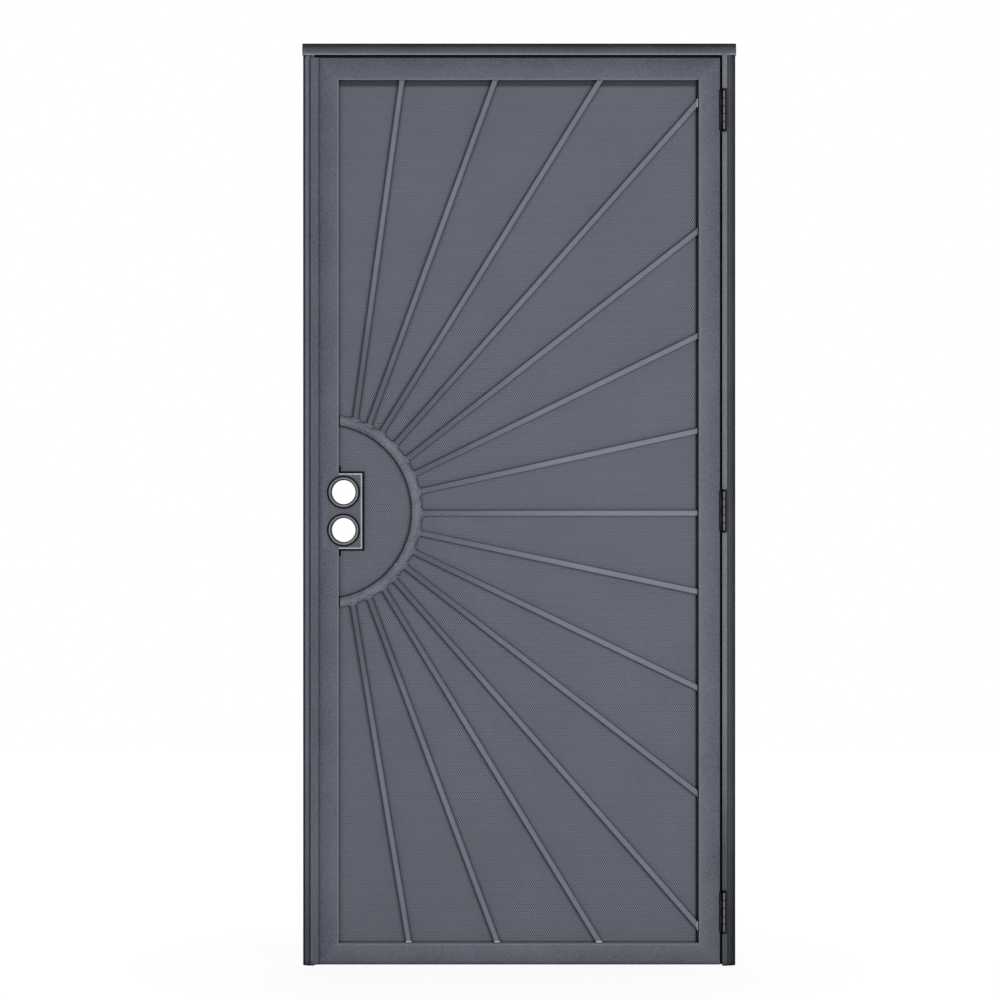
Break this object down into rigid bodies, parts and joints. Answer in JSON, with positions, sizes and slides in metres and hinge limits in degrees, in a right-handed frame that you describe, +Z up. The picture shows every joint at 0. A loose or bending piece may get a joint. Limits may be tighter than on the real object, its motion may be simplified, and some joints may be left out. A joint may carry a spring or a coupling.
{
  "type": "steel security screen door",
  "caption": "Outswing steel security door: a hinged leaf with a sunburst tube grille over perforated sheet, in a surface-mounted frame with lock box and barrel hinges.",
  "frame": {"origin": "on the wall face of the hinge jamb, at floor level, on the jamb's centre line", "axes": "+X to the right seen from outside, +Y into the wall, +Z up"},
  "size_m": [0.9735, 0.037, 2.0704],
  "materials": {
    "frame_paint": "textured powder coat",
    "grille_paint": "textured powder coat",
    "sheet_paint": "powder coat on fine perforated sheet",
    "gasket_rubber": "matt moulded rubber",
    "hinge_paint": "satin powder coat"
  },
  "bodies": {
    "frame": {"hinge_jamb": "frame_paint", "strike_jamb": "frame_paint", "header": "frame_paint", "door_stop": "frame_paint", "hinge_strip": "frame_paint", "lower_hinge_frame_half": "hinge_paint", "middle_hinge_frame_half": "hinge_paint", "upper_hinge_frame_half": "hinge_paint", "lower_hinge_pin": "hinge_paint", "middle_hinge_pin": "hinge_paint", "upper_hinge_pin": "hinge_paint"},
    "leaf": {"lock_stile": "frame_paint", "hinge_stile": "frame_paint", "top_rail": "frame_paint", "bottom_rail": "frame_paint", "strike_lip": "frame_paint", "lock_box": "frame_paint", "upper_lock_collars": "frame_paint", "lower_lock_collars": "frame_paint", "lock_gaskets": "gasket_rubber", "sun_ring": "grille_paint", "ray_01": "grille_paint", "ray_02": "grille_paint", "ray_03": "grille_paint", "ray_04": "grille_paint", "ray_05": "grille_paint", "ray_06": "grille_paint", "ray_07": "grille_paint", "ray_08": "grille_paint", "ray_09": "grille_paint", "ray_10": "grille_paint", "ray_11": "grille_paint", "ray_12": "grille_paint", "ray_13": "grille_paint", "ray_14": "grille_paint", "ray_15": "grille_paint", "perforated_sheet": "sheet_paint", "top_retainer": "frame_paint", "bottom_retainer": "frame_paint", "hinge_retainer": "frame_paint", "lock_retainer": "frame_paint", "lower_hinge_leaf_half": "hinge_paint", "middle_hinge_leaf_half": "hinge_paint", "upper_hinge_leaf_half": "hinge_paint"}
  },
  "joints": [
    {"name": "leaf_swing", "type": "hinge", "parent": "frame", "child": "leaf", "pos_m": [-0.0136, -0.032, 0], "axis": [0, 0, 1], "range_deg": [0, 150]}
  ]
}
